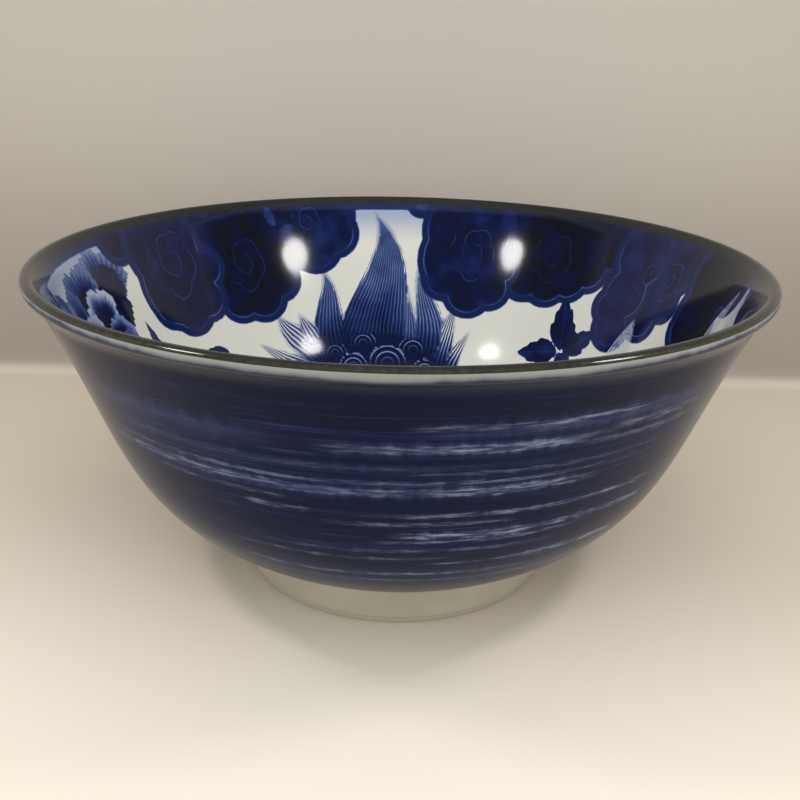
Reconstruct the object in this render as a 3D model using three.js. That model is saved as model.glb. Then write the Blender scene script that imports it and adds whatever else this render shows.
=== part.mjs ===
// Porcelain noodle bowl with a flared lip: a turned clay body, its foot ring and six fired coats.
// Millimetres and degrees, +Z up, the bowl's axis on Z and the table at z = 0.
import * as THREE from "three";

// Overall sizes
const rimDiameter = 197; // across the outermost edge of the lip
const bowlHeight = 90; // table to the crest of the lip

// Foot
const footDiameter = 88.2; // across the foot's outside at the table
const footHeight = 11; // table to the heel, where the wall springs from the foot
const footTaper = 1.3; // how far each side of the foot draws in from heel to table
const footWidth = 5.6; // breadth of the ring at the table
const footDraft = 0.9; // how far the ring thickens inwards from table to recess
const footEdgeRadius = 0.9; // rounding of the standing edge
const heelFillet = 1.8; // reach of the curve between foot and wall
const recessDepth = 8.5; // table to the finished underside of the floor
const recessFillet = 2.2; // reach of the curve between ring and underside

// Wall and floor
const heelAngle = 26.7; // rise of the wall as it leaves the heel
const wallAngle = 65.5; // rise of the wall below the lip
const bellyFullness = 0.448; // curve handle at the heel, as a share of the wall's chord
const wallFullness = 0.489; // curve handle below the lip, as a share of the wall's chord
const heelThickness = 6;
const floorThickness = 5; // at the axis

// Lip
const lipThickness = 3.6; // the edge is a full round of this diameter
const lipAngle = 40; // rise of the flare where it reaches the edge
const lipOverhang = 3.9; // how far the edge stands out past the wall's top
const lipDrop = 7; // crest to the start of the flare

// Coats
const glazeThickness = 0.4;
const coatGap = 0.05; // clearance between a coat and what it lies on or meets
const rimBandInside = 2.6; // how far the brown band runs down inside, below the round edge
const rimBandOver = 2; // how far it runs over the crest to the outside
const lipLineWidth = 3; // the white line under the brown band
const bareFoot = 2; // height of the unglazed standing edge

// Fineness of the surfaces
const turnSegments = 48;
const wallSteps = 8;
const wellSteps = 4;
const flareSteps = 2;
const edgeStep = 30; // most degrees between points on the lip's round
const filletSteps = 2;

const point = (r, z) => new THREE.Vector2(r, z);
const heading = (degrees) => point(1, 0).rotateAround(point(0, 0), THREE.MathUtils.degToRad(degrees));
const step = (from, direction, distance) => from.clone().addScaledVector(direction, distance);
const leftOf = (direction) => point(-direction.y, direction.x);

// A curve that leaves one point and reaches another on given headings
function bridge(from, startHeading, startHandle, to, endHeading, endHandle) {
  const first = step(from, startHeading, startHandle);
  const second = step(to, endHeading, -endHandle);
  return new THREE.CubicBezierCurve(from, first, second, to);
}

// The short curve that takes the place of a corner, starting and ending at a given reach from it
function roundedCorner(before, corner, after, reach) {
  const start = step(corner, before.clone().sub(corner).normalize(), reach);
  const end = step(corner, after.clone().sub(corner).normalize(), reach);
  return new THREE.QuadraticBezierCurve(start, corner, end).getPoints(filletSteps);
}

// The point of a straight line that lies at a given height
function atHeight(from, to, height) {
  return from.clone().lerp(to, (height - from.y) / (to.y - from.y));
}

// Runs of points end to end, with the points that they share merged
function joined(...runs) {
  return runs.flat().filter((here, i, all) => i === 0 || here.distanceTo(all[i - 1]) > coatGap / 2);
}

function lengthOf(path) {
  return path.slice(1).reduce((sum, here, i) => sum + here.distanceTo(path[i]), 0);
}

// A path cut in two at a distance along it
function cutAt(path, distance) {
  let walked = 0;
  let i = 1;
  while (i < path.length - 1 && walked + path[i].distanceTo(path[i - 1]) < distance) {
    walked += path[i].distanceTo(path[i - 1]);
    i += 1;
  }
  const share = (distance - walked) / path[i].distanceTo(path[i - 1]);
  const cut = path[i - 1].clone().lerp(path[i], share);
  return [joined(path.slice(0, i), [cut]), joined([cut], path.slice(i))];
}

// A path moved into the material on its right, with mitred corners; a point on the axis stays on it
function inset(path, depth) {
  const lefts = path.slice(1).map((next, i) => leftOf(next.clone().sub(path[i]).normalize()));
  return path.map((here, i) => {
    const mitre = lefts[Math.max(i - 1, 0)].clone().add(lefts[Math.min(i, lefts.length - 1)]);
    const moved = step(here, mitre, (-2 * depth) / mitre.lengthSq());
    return here.x === 0 ? point(0, moved.y) : moved;
  });
}

// Outside of the wall: one curve from the heel to the shoulder, then the flare out to the round edge
const rimRadius = rimDiameter / 2;
const footRadius = footDiameter / 2;
const edgeRadius = lipThickness / 2;
const heel = point(footRadius + footTaper, footHeight);
const shoulder = point(rimRadius - lipOverhang, bowlHeight - lipDrop);
const edgeCentre = point(rimRadius - edgeRadius, bowlHeight - edgeRadius);
const edgeOutside = step(edgeCentre, heading(lipAngle - 90), edgeRadius);
const wallChord = heel.distanceTo(shoulder);
const flareHandle = shoulder.distanceTo(edgeOutside) / 3;
const wallRise = heading(wallAngle);
const bellyHandle = bellyFullness * wallChord;
const wallHandle = wallFullness * wallChord;
const wallCurve = bridge(heel, heading(heelAngle), bellyHandle, shoulder, wallRise, wallHandle);
const flareCurve = bridge(shoulder, wallRise, flareHandle, edgeOutside, heading(lipAngle), flareHandle);

// Inside of the wall: the same curves, a wall's thickness away
function insideOf(curve, steps, thicknessAt) {
  return curve.getPoints(steps).map((here, i) => {
    const share = i / steps;
    return step(here, leftOf(curve.getTangent(share)), thicknessAt(share));
  });
}

const thinning = (share) => THREE.MathUtils.lerp(heelThickness, lipThickness, share);
const wallInside = insideOf(wallCurve, wallSteps, thinning);
const flareInside = insideOf(flareCurve, flareSteps, () => lipThickness);

// The well: level at the axis, rising to meet the inside of the wall
const wellCentre = point(0, recessDepth + floorThickness);
const wellEdge = wallInside[0];
const wellCorner = atHeight(wellEdge, step(wellEdge, heading(heelAngle), 1), wellCentre.y);
const wellCurve = new THREE.QuadraticBezierCurve(wellCentre, wellCorner, wellEdge);

// The lip's round, from one angle about its centre to another
function edgeArc(fromAngle, toAngle) {
  const steps = Math.ceil(Math.abs(toAngle - fromAngle) / edgeStep);
  return Array.from({ length: steps + 1 }, (_, i) => {
    const angle = THREE.MathUtils.lerp(fromAngle, toAngle, i / steps);
    return step(edgeCentre, heading(angle), edgeRadius);
  });
}
const crestInside = edgeArc(lipAngle + 90, 90);
const crestOutside = joined(edgeArc(90, 0), edgeArc(0, lipAngle - 90));

// The finished surface, from the axis inside, over the lip and down to the bare edge of the foot
const tableOutside = point(footRadius, 0);
const bareOutside = atHeight(heel, tableOutside, bareFoot);
const inside = joined(wellCurve.getPoints(wellSteps), wallInside, flareInside, crestInside);
const flareDown = flareCurve.getPoints(flareSteps).reverse();
const wallDown = wallCurve.getPoints(wallSteps).reverse();
const skin = joined(inside, crestOutside, flareDown, wallDown, [bareOutside]);

// The finished surface of the recess, from the bare edge of the foot to the axis
const tableInside = point(footRadius - footWidth, 0);
const recessCorner = point(tableInside.x - footDraft, recessDepth);
const bareInside = atHeight(recessCorner, tableInside, bareFoot);
const recess = [bareInside, recessCorner, point(0, recessDepth)];

// Where each coat of the skin ends, as lengths along it
const bandTop = lengthOf(inside) - lengthOf(crestInside) - rimBandInside;
const bandWidth = lengthOf(inside) - bandTop + rimBandOver;
const footCoatLength = heelFillet + heel.distanceTo(bareOutside);
const blueWidth = lengthOf(skin) - bandTop - bandWidth - lipLineWidth - footCoatLength;

// The coats in turn along the skin, a clearance apart, with the foot's coat on what is left
const coatSkins = [];
let uncoated = skin;
for (const width of [bandTop, bandWidth, lipLineWidth, blueWidth]) {
  const [covered, rest] = cutAt(uncoated, width);
  coatSkins.push(cutAt(covered, width - coatGap)[0]);
  uncoated = rest;
}
const [innerSkin, bandSkin, lineSkin, blueSkin] = coatSkins;

// A coat of even thickness, and one that pools in the corner of its path
const evenCoat = (path) => [...path, ...inset(path, glazeThickness).reverse()];
function pooledCoat(path, reach) {
  const surface = joined([path[0]], roundedCorner(...path, reach), [path[2]]);
  return [...surface, ...inset(path, glazeThickness).reverse()];
}

// The clay under the coats: the wall sits on the foot ring at a level seat
const clayDepth = glazeThickness + coatGap;
const seatHeight = recessDepth + clayDepth;
const ringTop = seatHeight - coatGap;
const ledgeHeight = bareFoot - coatGap;
const wallClay = inset(skin, clayDepth);
const ringClay = inset(recess, clayDepth).slice(0, 2);
const footClay = wallClay.slice(-2);
const seat = [atHeight(...footClay, seatHeight), point(0, seatHeight)];
const wallOutline = [...wallClay.slice(0, -1), ...seat];

// The foot ring: full size at the bare standing edge, and set back under the coats above it
const ringOutline = [
  atHeight(...ringClay, ringTop),
  atHeight(...footClay, ringTop),
  atHeight(...footClay, ledgeHeight),
  atHeight(heel, tableOutside, ledgeHeight),
  ...roundedCorner(bareOutside, tableOutside, tableInside, footEdgeRadius),
  ...roundedCorner(tableOutside, tableInside, bareInside, footEdgeRadius),
  atHeight(recessCorner, tableInside, ledgeHeight),
  atHeight(...ringClay, ledgeHeight),
];

// An outline turned about the bowl's axis; one that touches the axis is opened there
function turned(name, outline, finish) {
  const onAxis = outline.findIndex((here, i) => here.x === 0 && outline.at(i - 1).x === 0);
  const start = Math.max(onAxis, 0);
  const profile = [...outline.slice(start), ...outline.slice(0, start)];
  if (onAxis < 0) profile.push(profile[0]);
  const geometry = new THREE.LatheGeometry(profile.reverse(), turnSegments);
  const mesh = new THREE.Mesh(geometry.rotateX(Math.PI / 2), new THREE.MeshStandardMaterial(finish));
  mesh.name = name;
  return mesh;
}

// Finishes
const clay = { color: 0xe4e0d4, roughness: 0.75, metalness: 0 };
const clearGlaze = { color: 0xdedbcc, roughness: 0.12, metalness: 0 };
const whiteGlaze = { color: 0xe6e5dc, roughness: 0.1, metalness: 0 };
const brownGlaze = { color: 0x45433a, roughness: 0.18, metalness: 0 };
const blueGlaze = { color: 0x262b52, roughness: 0.2, metalness: 0 };

const bowl = new THREE.Group();
bowl.add(
  turned("porcelain_wall", wallOutline, clay),
  turned("foot_ring", ringOutline, clay),
  turned("inner_glaze", evenCoat(innerSkin), whiteGlaze),
  turned("rim_glaze", evenCoat(bandSkin), brownGlaze),
  turned("lip_line_glaze", evenCoat(lineSkin), clearGlaze),
  turned("outer_glaze", evenCoat(blueSkin), blueGlaze),
  turned("foot_glaze", pooledCoat(uncoated, heelFillet), clearGlaze),
  turned("base_glaze", pooledCoat(recess, recessFillet), clearGlaze),
);

export default bowl;
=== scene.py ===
import math

import bmesh
import bpy
import numpy as np
from mathutils import Matrix, Vector


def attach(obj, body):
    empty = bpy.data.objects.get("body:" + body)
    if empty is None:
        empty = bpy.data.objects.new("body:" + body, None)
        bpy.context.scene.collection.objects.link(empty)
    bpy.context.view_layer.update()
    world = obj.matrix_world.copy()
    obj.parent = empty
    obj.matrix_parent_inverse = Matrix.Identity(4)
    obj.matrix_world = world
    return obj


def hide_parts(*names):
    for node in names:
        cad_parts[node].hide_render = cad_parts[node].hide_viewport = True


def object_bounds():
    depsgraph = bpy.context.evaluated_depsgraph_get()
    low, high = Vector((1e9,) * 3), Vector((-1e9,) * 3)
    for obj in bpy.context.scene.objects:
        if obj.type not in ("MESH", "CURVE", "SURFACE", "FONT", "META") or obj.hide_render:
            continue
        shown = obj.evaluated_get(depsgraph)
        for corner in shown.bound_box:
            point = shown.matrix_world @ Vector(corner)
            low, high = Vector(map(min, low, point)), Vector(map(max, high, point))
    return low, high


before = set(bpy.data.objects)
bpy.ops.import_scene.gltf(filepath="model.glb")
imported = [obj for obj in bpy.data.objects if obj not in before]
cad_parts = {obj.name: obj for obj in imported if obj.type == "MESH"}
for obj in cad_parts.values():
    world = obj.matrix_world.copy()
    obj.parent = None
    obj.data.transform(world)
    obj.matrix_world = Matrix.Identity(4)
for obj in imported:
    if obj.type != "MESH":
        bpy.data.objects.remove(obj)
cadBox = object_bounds()
mm = 0.001
fullTurn = 2 * math.pi
print("frame: loaded", len(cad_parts), "nodes")


# Nodes: a wired socket that takes part in Python expressions, and one method that makes any node
class Wire:
    def __init__(self, tree, socket):
        self.tree = tree
        self.socket = socket

    def math(self, operation, *values):
        sockets = dict(enumerate(values))
        return self.tree.node("ShaderNodeMath", {"operation": operation}, sockets)

    def __add__(self, other):
        return self.math("ADD", self, other)

    def __radd__(self, other):
        return self.math("ADD", other, self)

    def __sub__(self, other):
        return self.math("SUBTRACT", self, other)

    def __rsub__(self, other):
        return self.math("SUBTRACT", other, self)

    def __mul__(self, other):
        return self.math("MULTIPLY", self, other)

    def __rmul__(self, other):
        return self.math("MULTIPLY", other, self)

    def __truediv__(self, other):
        return self.math("DIVIDE", self, other)

    def __abs__(self):
        return self.math("ABSOLUTE", self)

    def __floor__(self):
        return self.math("FLOOR", self)

    def sin(self):
        return self.math("SINE", self)

    def cos(self):
        return self.math("COSINE", self)

    def atLeast(self, other):
        return self.math("MAXIMUM", self, other)

    def rise(self, low, high, start=0.0, end=1.0):  # a soft step from start to end
        ends = {"Value": self, "From Min": low, "From Max": high, "To Min": start, "To Max": end}
        return self.tree.node("ShaderNodeMapRange", {"interpolation_type": "SMOOTHSTEP"}, ends)

    def also(self, name):  # another output of the same node
        return Wire(self.tree, self.socket.node.outputs[name])


class Tree:
    def __init__(self, tree):
        self.tree = tree

    def node(self, kind, settings={}, sockets={}, out=0):
        made = self.tree.nodes.new(kind)
        for key, value in settings.items():
            if key == "stops":
                self.fillRamp(made.color_ramp, value)
            else:
                setattr(made, key, value)
        for key, value in sockets.items():
            if isinstance(value, Wire):
                self.tree.links.new(value.socket, made.inputs[key])
            else:
                made.inputs[key].default_value = value
        return Wire(self, made.outputs[out] if made.outputs else None)

    def fillRamp(self, ramp, stops):
        while len(ramp.elements) < len(stops):
            ramp.elements.new(0.5)
        for element, (place, colour) in zip(ramp.elements, stops):
            element.position = place
            element.color = colour


# Materials: a glossy or matt surface on the piece's own millimetres
class Finish(Tree):
    def __init__(self, name, **constants):
        self.material = bpy.data.materials.new(name)
        self.material.use_nodes = True
        super().__init__(self.material.node_tree)
        self.shader = self.tree.nodes["Principled BSDF"]
        for key, value in constants.items():
            self.shader.inputs[key.replace("_", " ")].default_value = value

    def feed(self, socket, wire):
        self.tree.links.new(wire.socket, self.shader.inputs[socket])

    def stretched(self, place, *sizes):
        return self.node("ShaderNodeVectorMath", {"operation": "MULTIPLY"}, {0: place, 1: sizes})

    def millimetres(self):  # object coordinates
        place = self.node("ShaderNodeTexCoord", out="Object")
        return self.stretched(place, 1 / mm, 1 / mm, 1 / mm)

    def noise(self, place, size, detail=2.0, roughness=0.5):  # about 0 to 1, with features of that size
        sockets = {"Vector": place, "Scale": 1 / size, "Detail": detail, "Roughness": roughness}
        return self.node("ShaderNodeTexNoise", {}, sockets)

    def brushPlace(self, around, down):  # the piece's lengths round and down it, each times that much
        place = self.node("ShaderNodeAttribute", {"attribute_name": "brush"}, out="Vector")
        return self.stretched(place, around, around, down)

    def marks(self, around, down, detail=2.0, roughness=0.5):  # noise drawn out along the turning
        return self.noise(self.brushPlace(around, down), 1.0, detail, roughness)

    def field(self, name):  # a value stored on the piece's points
        return self.node("ShaderNodeAttribute", {"attribute_name": name}, out="Fac")

    def ramp(self, value, stops):
        return self.node("ShaderNodeValToRGB", {"stops": stops}, {"Fac": value}, out="Color")

    def mix(self, share, first, second):
        return self.node("ShaderNodeMix", {"data_type": "RGBA"}, {0: share, 6: first, 7: second}, out=2)

    def bump(self, height, depth):  # height 0 to 1 stands for that depth in millimetres
        return self.node("ShaderNodeBump", {}, {"Height": height, "Distance": depth * mm, "Strength": 1.0})


def paint(*screen):  # a colour as a screen shows it: red, green and blue from 0 to 255
    shares = [value / 255 for value in screen]
    linear = [c / 12.92 if c <= 0.04045 else ((c + 0.055) / 1.055) ** 2.4 for c in shares]
    return (*linear, 1.0)


def wrapped(angle):  # the same way, within half a turn of zero
    return (angle + math.pi) % fullTurn - math.pi


def over(under, tone, share):  # one layer of paint laid on another
    return under + (tone - under) * share


# Camera, at the photograph's place and angle
cameraView = dict(back=259.36, height=145.58, pitch=20.90, yaw=0.11, roll=1.17,
                  focalPixels=954.4, framePixels=800, sensor=36, nearest=0.01)


def placeCamera():
    pitch, yaw, roll = (math.radians(cameraView[key]) for key in ("pitch", "yaw", "roll"))
    ahead = Vector((math.sin(yaw) * math.cos(pitch), math.cos(yaw) * math.cos(pitch), -math.sin(pitch)))
    level = Vector((math.cos(yaw), -math.sin(yaw), 0))
    above = level.cross(ahead)
    right = level * math.cos(roll) + above * math.sin(roll)
    up = above * math.cos(roll) - level * math.sin(roll)
    lens = bpy.data.cameras.new("camera")
    lens.sensor_width = cameraView["sensor"]
    lens.lens = cameraView["sensor"] * cameraView["focalPixels"] / cameraView["framePixels"]
    lens.clip_start = cameraView["nearest"]
    camera = bpy.data.objects.new("camera", lens)
    stand = Vector((0, -cameraView["back"], cameraView["height"])) * mm
    camera.matrix_world = Matrix.Translation(stand) @ Matrix((right, up, -ahead)).transposed().to_4x4()
    bpy.context.scene.collection.objects.link(camera)
    bpy.context.scene.camera = camera


placeCamera()
print("camera: placed")


# Stage: a pale paper sweep with painted shade, a wide ceiling panel, two round lamps that show in the
# glaze, and a sky
# The floor's paints are painted light and shade: lighter at the front, darker towards the back wall and the
# bowl, darker still on the right, and darker again towards the front edge
stage = dict(front=-1.6, crease=0.152, bend=0.008, top=0.75, side=1.5, bendSteps=8,
             litFloorPaint=paint(248, 241, 228), shadedFloorPaint=paint(214, 204, 189), nearEdge=-0.1, farEdge=0.04,
             frontPaint=paint(196, 190, 182), frontFade=(-0.1, -0.26),
             # Painted shade: the wall is darker at its foot, just above the crease
             creaseShadePaint=paint(164, 157, 149), wallPaint=paint(189, 183, 176),
             wallFoot=(0.0, 0.005), wallShade=(0.03, 0.14), rightShade=0.3, roughness=0.9, gloss=0.1)
lampColour = (1.0, 0.97, 0.92)
lamps = dict(
    ceilingPanel=dict(place=(0.0, -0.6, 0.62), aim=(0.0, -0.2, 0.0), width=0.5, watts=1.6, mirrored=False),
    rightLamp=dict(place=(0.150, -0.086, 0.222), aim=(-0.03, 0.06, 0.06), width=0.04, watts=0.14,
                   mirrored=True),
    leftLamp=dict(place=(-0.160, -0.086, 0.234), aim=(0.03, 0.06, 0.06), width=0.038, watts=0.13,
                  mirrored=True))
sky = dict(colour=(1.0, 0.985, 0.96, 1.0), strength=0.9, mirrored=0.7, dim=0.1, seen=0.62,
           towards=(0.12, -0.1), dimFrom=(0.1, 0.24), dimTo=(0.9, 0.78))


def buildSweep():
    outline = [(stage["front"], 0.0)]
    for step in range(stage["bendSteps"] + 1):
        turn = math.pi / 2 * step / stage["bendSteps"]
        outline.append((stage["crease"] - stage["bend"] * (1 - math.sin(turn)),
                        stage["bend"] * (1 - math.cos(turn))))
    outline.append((stage["crease"], stage["top"]))
    points = [(side * stage["side"], y, z) for y, z in outline for side in (-1, 1)]
    faces = [(2 * i, 2 * i + 1, 2 * i + 3, 2 * i + 2) for i in range(len(outline) - 1)]
    mesh = bpy.data.meshes.new("paperSweep")
    mesh.from_pydata(points, [], faces)
    mesh.shade_smooth()
    sweep = bpy.data.objects.new("paperSweep", mesh)
    bpy.context.scene.collection.objects.link(sweep)
    mesh.materials.append(paperFinish())


def paperFinish():
    paper = Finish("palePaper", Roughness=stage["roughness"], Specular_IOR_Level=stage["gloss"])
    place = paper.node("ShaderNodeTexCoord", out="Object")
    height = paper.node("ShaderNodeSeparateXYZ", {}, {0: place}, out="Z")
    # Painted shade: the floor darkens from the lit front towards the back wall and the bowl, and more so on
    # the right
    floorShade = height.also("Y") + height.also("X").atLeast(0.0) * stage["rightShade"]
    floorShade = floorShade.rise(stage["nearEdge"], stage["farEdge"])
    near = paper.mix(height.also("Y").rise(*stage["frontFade"]), stage["litFloorPaint"], stage["frontPaint"])
    floor = paper.mix(floorShade, near, stage["shadedFloorPaint"])
    # Painted shade: the wall darkens towards its foot above the crease
    wall = paper.mix(height.rise(*stage["wallShade"]), stage["creaseShadePaint"], stage["wallPaint"])
    colour = paper.mix(height.rise(*stage["wallFoot"]), floor, wall)
    paper.feed("Base Color", colour)
    # The sweep is seen only from its front, so that it hides nothing in views from behind
    behind = paper.node("ShaderNodeNewGeometry", out="Backfacing")
    clear = paper.node("ShaderNodeBsdfTransparent")
    front = Wire(paper, paper.shader.outputs[0])
    both = paper.node("ShaderNodeMixShader", {}, {0: behind, 1: front, 2: clear})
    paper.tree.links.new(both.socket, paper.tree.nodes["Material Output"].inputs["Surface"])
    return paper.material


def buildLight():
    for name, lamp in lamps.items():
        light = bpy.data.lights.new(name, "AREA")
        light.shape = "DISK"
        light.size = lamp["width"]
        light.energy = lamp["watts"]
        light.color = lampColour
        shade = bpy.data.objects.new(name, light)
        place = Vector(lamp["place"])
        aim = (Vector(lamp["aim"]) - place).to_track_quat("-Z", "Y")
        shade.matrix_world = Matrix.Translation(place) @ aim.to_matrix().to_4x4()
        shade.visible_glossy = lamp["mirrored"]
        bpy.context.scene.collection.objects.link(shade)
    bpy.context.scene.world = skyWorld()
    bpy.context.scene.view_settings.view_transform = "Standard"


def skyWorld():  # even, but the glaze mirrors a dim room at mid height towards the viewer
    world = bpy.data.worlds.new("studioSky")
    world.use_nodes = True
    tree = Tree(world.node_tree)
    way = tree.node("ShaderNodeTexCoord", out="Generated")
    height = tree.node("ShaderNodeSeparateXYZ", {}, {0: way}, out="Z")
    front = height.also("Y").rise(*sky["towards"])
    shade = front * height.rise(*sky["dimFrom"]) * height.rise(*sky["dimTo"])
    seen = tree.node("ShaderNodeLightPath", out="Is Camera Ray")
    strength = over(sky["strength"], over(sky["mirrored"], sky["dim"], shade), seen.also("Is Glossy Ray"))
    glow = world.node_tree.nodes["Background"]
    glow.inputs["Color"].default_value = sky["colour"]
    world.node_tree.links.new(over(strength, sky["seen"], seen).socket, glow.inputs["Strength"])
    return world


buildSweep()
buildLight()
print("stage: paper sweep, lamps and sky")


# The bowl's section in millimetres and degrees, as (radius, height): from the axis inside, over the lip and
# down to the foot
section = dict(footRadius=44.1, footHeight=11, footTaper=1.3, footWidth=5.6, footDraft=0.9, toeRadius=0.9,
               heelFillet=1.8, recessDepth=8.5, recessFillet=2.2, heelAngle=26.7, wallAngle=65.5,
               bellyFullness=0.448, wallFullness=0.489, heelThickness=6, floorThickness=5,
               lipThickness=3.6, lipAngle=40, lipOverhang=3.9, lipDrop=7,
               glaze=0.4, clearance=0.05, bandInside=2.6, bandOver=2, lineWidth=3, bareFoot=2)
rimRadius = cadBox[1].x / mm
bowlHeight = cadBox[1].z / mm
fine = 400  # points along each curve of the section
lipPoints = 91  # round the lip, every 2 degrees, so that its crest and its widest point are among them
filletPoints = 12
tiny = 1e-4  # millimetres within which points of a path are one
touching = 1e-3  # millimetres within which a turned point is on its outline
brushRadius = 75  # of the circle that brush marks are measured round


def heading(angle):
    return np.array([math.cos(math.radians(angle)), math.sin(math.radians(angle))])


def curve(*corners, count=fine):  # a smooth curve pulled by its corners
    share = np.linspace(0, 1, count)[:, None]
    points = [np.asarray(corner, float) for corner in corners]
    while len(points) > 1:
        points = [a + (b - a) * share for a, b in zip(points, points[1:])]
    return points[0]


def leftOf(path):
    ahead = np.gradient(path, axis=0)
    ahead /= np.linalg.norm(ahead, axis=1)[:, None]
    return np.stack([-ahead[:, 1], ahead[:, 0]], 1)


def lengths(path):
    return np.r_[0, np.cumsum(np.linalg.norm(np.diff(path, axis=0), axis=1))]


def joined(*runs):
    path = np.vstack(runs)
    apart = np.r_[True, np.linalg.norm(np.diff(path, axis=0), axis=1) > tiny]
    return path[apart]


def along(path, run, places):  # the points of a path at given lengths along it
    return np.stack([np.interp(places, run, path[:, axis]) for axis in (0, 1)], 1)


def atHeight(low, high, height):
    return low + (high - low) * (height - low[1]) / (high[1] - low[1])


def filleted(before, corner, after, reach):
    start = corner + (before - corner) / np.linalg.norm(before - corner) * reach
    end = corner + (after - corner) / np.linalg.norm(after - corner) * reach
    return curve(start, corner, end, count=filletPoints)


def drawSection():
    s = section
    heel = np.array([s["footRadius"] + s["footTaper"], s["footHeight"]])
    toe = np.array([s["footRadius"], 0.0])
    shoulder = np.array([rimRadius - s["lipOverhang"], bowlHeight - s["lipDrop"]])
    edge = s["lipThickness"] / 2
    centre = np.array([rimRadius - edge, bowlHeight - edge])
    flareEnd = centre + edge * heading(s["lipAngle"] - 90)
    chord = np.linalg.norm(shoulder - heel)
    handle = np.linalg.norm(flareEnd - shoulder) / 3
    wall = curve(heel, heel + s["bellyFullness"] * chord * heading(s["heelAngle"]),
                 shoulder - s["wallFullness"] * chord * heading(s["wallAngle"]), shoulder)
    flare = curve(shoulder, shoulder + handle * heading(s["wallAngle"]),
                  flareEnd - handle * heading(s["lipAngle"]), flareEnd)
    thickness = np.linspace(s["heelThickness"], s["lipThickness"], fine)[:, None]
    wallInside = wall + leftOf(wall) * thickness
    flareInside = flare + leftOf(flare) * s["lipThickness"]
    wellHeight = s["recessDepth"] + s["floorThickness"]
    wellEdge = wallInside[0]
    wellCorner = atHeight(wellEdge, wellEdge + heading(s["heelAngle"]), wellHeight)
    well = curve((0, wellHeight), wellCorner, wellEdge)
    turn = np.linspace(s["lipAngle"] + 90, s["lipAngle"] - 90, lipPoints)
    lip = np.array([centre + edge * heading(angle) for angle in turn])
    lowerWall = wall[np.linalg.norm(wall - heel, axis=1) > s["heelFillet"]]
    foot = atHeight(heel, toe, s["bareFoot"])
    heelCurve = filleted(wall[1], heel, foot, s["heelFillet"])
    inside = joined(well, wallInside, flareInside)
    skin = joined(inside, lip, flare[::-1], lowerWall[::-1], heelCurve, [foot])
    run = lengths(skin)
    crest = run[np.argmax(skin[:, 1])]
    places = {"bandTop": lengths(inside)[-1] - s["bandInside"], "bandEnd": crest + s["bandOver"]}
    places["lineEnd"] = places["bandEnd"] + s["lineWidth"]
    places["blueEnd"] = run[len(skin) - len(heelCurve) - 1]
    places["footEnd"] = run[-1]
    return skin, run, places, heel, toe


skin, skinRun, skinPlaces, heelPoint, toePoint = drawSection()
rounded = {name: round(float(place), 1) for name, place in skinPlaces.items()}
print("section: skin is", round(float(skinRun[-1]), 1), "mm long,", rounded)


def coatOutline(path, run, start, end, rows, backRows):  # the skin's rows, then the coat's hidden back
    under = path - leftOf(path) * section["glaze"]
    front = along(path, run, np.linspace(start, end, rows))
    back = along(under, run, np.linspace(end, start, backRows))
    if front[0, 0] < tiny:
        back[-1, 0] = 0.0
        return np.vstack([front, back])
    return np.vstack([front, back, front[:1]])


# Turning: one tree of nodes revolves an outline about the bowl's axis
turning = dict(weld=1e-6, sliver=1e-7, sharp=40)  # metres and degrees


def turningTree():
    tree = bpy.data.node_groups.new("turnedOnTheWheel", "GeometryNodeTree")
    ids = {}
    for label, kind in (("Outline", "NodeSocketObject"), ("Turns", "NodeSocketInt"),
                        ("Finish", "NodeSocketMaterial")):
        ids[label] = tree.interface.new_socket(label, in_out="INPUT", socket_type=kind).identifier
    tree.interface.new_socket("Turned piece", in_out="OUTPUT", socket_type="NodeSocketGeometry")
    g = Tree(tree)
    given = g.node("NodeGroupInput", out="Outline")
    turns = given.also("Turns")
    outline = g.node("GeometryNodeObjectInfo", {}, {"Object": given}, out="Geometry")
    rows = g.node("GeometryNodeAttributeDomainSize", {"component": "MESH"}, {"Geometry": outline},
                  out="Point Count")
    grid = g.node("GeometryNodeMeshGrid", {}, {"Vertices X": turns + 1, "Vertices Y": rows}, out="Mesh")
    index = g.node("GeometryNodeInputIndex")
    column = math.floor((index + 0.5) / rows)
    row = index - column * rows
    position = g.node("GeometryNodeInputPosition")
    point = g.node("GeometryNodeSampleIndex", {"data_type": "FLOAT_VECTOR", "domain": "POINT"},
                   {"Geometry": outline, "Value": position, "Index": row})
    radius = g.node("ShaderNodeSeparateXYZ", {}, {0: point}, out="X")
    angle = column / turns * fullTurn
    place = g.node("ShaderNodeCombineXYZ", {}, {"X": radius * angle.cos(), "Y": radius * angle.sin(),
                                                "Z": radius.also("Z")})
    shaped = g.node("GeometryNodeSetPosition", {}, {"Geometry": grid, "Position": place})
    named = g.node("GeometryNodeStoreNamedAttribute", {"data_type": "FLOAT", "domain": "POINT"},
                   {"Geometry": shaped, "Name": "row", "Value": row})
    closed = g.node("GeometryNodeMergeByDistance", {}, {"Geometry": named, "Distance": turning["weld"]})
    real = g.node("GeometryNodeRealizeInstances", {}, {"Geometry": closed})
    coloured = g.node("GeometryNodeSetMaterial", {}, {"Geometry": real, "Material": given.also("Finish")})
    g.node("NodeGroupOutput", {}, {0: coloured})
    return tree, ids


wheel, wheelInputs = turningTree()


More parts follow.
